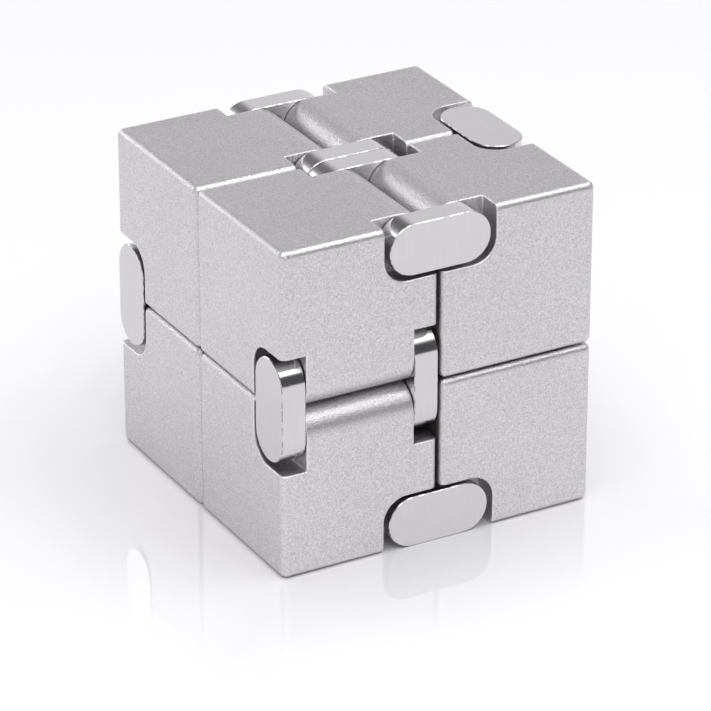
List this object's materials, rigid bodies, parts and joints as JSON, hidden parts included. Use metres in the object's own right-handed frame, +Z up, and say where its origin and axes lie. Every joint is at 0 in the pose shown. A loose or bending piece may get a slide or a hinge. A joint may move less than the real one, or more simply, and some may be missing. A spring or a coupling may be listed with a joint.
{
  "type": "folding fidget cube",
  "caption": "Pocket metal cube made of small blocks in a closed ring, joined by double-pivot hinges, that folds over and over and turns inside out.",
  "frame": {"origin": "middle of the closed cube's underside", "axes": "+X to the right along the front face, +Y from front to back, +Z up; the cube stands closed on -Z, with its front hinge column at the left"},
  "size_m": [0.04, 0.04, 0.04],
  "materials": {
    "block": "bead-blasted, clear silver anodised, fine grain",
    "plate": "polished sides, finely brushed flats",
    "pin": "ground"
  },
  "bodies": {
    "block_left_front_bottom": {"block_left_front_bottom": "block"},
    "block_left_front_top": {"block_left_front_top": "block"},
    "block_left_back_bottom": {"block_left_back_bottom": "block"},
    "block_left_back_top": {"block_left_back_top": "block"},
    "block_right_front_bottom": {"block_right_front_bottom": "block"},
    "block_right_front_top": {"block_right_front_top": "block"},
    "block_right_back_bottom": {"block_right_back_bottom": "block"},
    "block_right_back_top": {"block_right_back_top": "block"},
    "link_top_front": {"plate_top_front_outer": "plate", "plate_top_front_inner": "plate", "pin_top_front_left": "pin", "pin_top_front_right": "pin"},
    "link_top_back": {"plate_top_back_outer": "plate", "plate_top_back_inner": "plate", "pin_top_back_left": "pin", "pin_top_back_right": "pin"},
    "link_bottom_front": {"plate_bottom_front_outer": "plate", "plate_bottom_front_inner": "plate", "pin_bottom_front_left": "pin", "pin_bottom_front_right": "pin"},
    "link_bottom_back": {"plate_bottom_back_outer": "plate", "plate_bottom_back_inner": "plate", "pin_bottom_back_left": "pin", "pin_bottom_back_right": "pin"},
    "link_right_top": {"plate_right_top_outer": "plate", "plate_right_top_inner": "plate", "pin_right_top_front": "pin", "pin_right_top_back": "pin"},
    "link_right_bottom": {"plate_right_bottom_outer": "plate", "plate_right_bottom_inner": "plate", "pin_right_bottom_front": "pin", "pin_right_bottom_back": "pin"},
    "link_front_left": {"plate_front_left_outer": "plate", "plate_front_left_inner": "plate", "pin_front_left_bottom": "pin", "pin_front_left_top": "pin"},
    "link_back_left": {"plate_back_left_outer": "plate", "plate_back_left_inner": "plate", "pin_back_left_bottom": "pin", "pin_back_left_top": "pin"}
  },
  "joints": [
    {"name": "back_left_lower_pivot", "type": "hinge", "parent": "block_left_back_bottom", "child": "link_back_left", "pos_m": [-0.01, 0.0169, 0.0168], "axis": [-1, 0, 0], "range_deg": [0, 90]},
    {"name": "back_left_upper_pivot", "type": "hinge", "parent": "link_back_left", "child": "block_left_back_top", "pos_m": [-0.01, 0.0169, 0.0232], "axis": [-1, 0, 0], "range_deg": [0, 90]},
    {"name": "front_left_upper_pivot", "type": "hinge", "parent": "block_left_front_top", "child": "link_front_left", "pos_m": [-0.01, -0.0169, 0.0232], "axis": [-1, 0, 0], "range_deg": [0, 90]},
    {"name": "top_back_left_pivot", "type": "hinge", "parent": "block_left_back_top", "child": "link_top_back", "pos_m": [-0.00332, 0.01, 0.0369], "axis": [0, -1, 0], "range_deg": [0, 90]},
    {"name": "top_back_right_pivot", "type": "hinge", "parent": "link_top_back", "child": "block_right_back_top", "pos_m": [0.00332, 0.01, 0.0369], "axis": [0, -1, 0], "range_deg": [0, 90]},
    {"name": "top_front_right_pivot", "type": "hinge", "parent": "block_right_front_top", "child": "link_top_front", "pos_m": [0.00332, -0.01, 0.0369], "axis": [0, 1, 0], "range_deg": [0, 90]},
    {"name": "top_front_left_pivot", "type": "hinge", "parent": "link_top_front", "child": "block_left_front_top", "pos_m": [-0.00332, -0.01, 0.0369], "axis": [0, 1, 0], "range_deg": [0, 90]},
    {"name": "bottom_back_left_pivot", "type": "hinge", "parent": "block_left_back_bottom", "child": "link_bottom_back", "pos_m": [-0.00332, 0.01, 0.0031], "axis": [0, 1, 0], "range_deg": [0, 90]},
    {"name": "bottom_back_right_pivot", "type": "hinge", "parent": "link_bottom_back", "child": "block_right_back_bottom", "pos_m": [0.00332, 0.01, 0.0031], "axis": [0, 1, 0], "range_deg": [0, 90]},
    {"name": "bottom_front_right_pivot", "type": "hinge", "parent": "block_right_front_bottom", "child": "link_bottom_front", "pos_m": [0.00332, -0.01, 0.0031], "axis": [0, -1, 0], "range_deg": [0, 90]},
    {"name": "bottom_front_left_pivot", "type": "hinge", "parent": "link_bottom_front", "child": "block_left_front_bottom", "pos_m": [-0.00332, -0.01, 0.0031], "axis": [0, -1, 0], "range_deg": [0, 90]},
    {"name": "right_top_back_pivot", "type": "hinge", "parent": "block_right_back_top", "child": "link_right_top", "pos_m": [0.0169, 0.00317, 0.03], "axis": [0, 0, 1], "range_deg": [0, 90]},
    {"name": "right_top_front_pivot", "type": "hinge", "parent": "link_right_top", "child": "block_right_front_top", "pos_m": [0.0169, -0.00317, 0.03], "axis": [0, 0, 1], "range_deg": [0, 90]},
    {"name": "right_bottom_back_pivot", "type": "hinge", "parent": "block_right_back_bottom", "child": "link_right_bottom", "pos_m": [0.0169, 0.00317, 0.01], "axis": [0, 0, 1], "range_deg": [0, 90]},
    {"name": "right_bottom_front_pivot", "type": "hinge", "parent": "link_right_bottom", "child": "block_right_front_bottom", "pos_m": [0.0169, -0.00317, 0.01], "axis": [0, 0, 1], "range_deg": [0, 90]}
  ],
  "couplings": [
    {"joint": "right_bottom_back_pivot", "follows": "right_top_back_pivot", "ratio": 1},
    {"joint": "right_bottom_front_pivot", "follows": "right_top_front_pivot", "ratio": 1},
    {"joint": "top_front_left_pivot", "follows": "top_back_left_pivot", "ratio": 1},
    {"joint": "top_front_right_pivot", "follows": "top_back_right_pivot", "ratio": 1},
    {"joint": "bottom_front_left_pivot", "follows": "bottom_back_left_pivot", "ratio": 1},
    {"joint": "bottom_front_right_pivot", "follows": "bottom_back_right_pivot", "ratio": 1},
    {"joint": "front_left_upper_pivot", "follows": "back_left_upper_pivot", "ratio": 1}
  ]
}
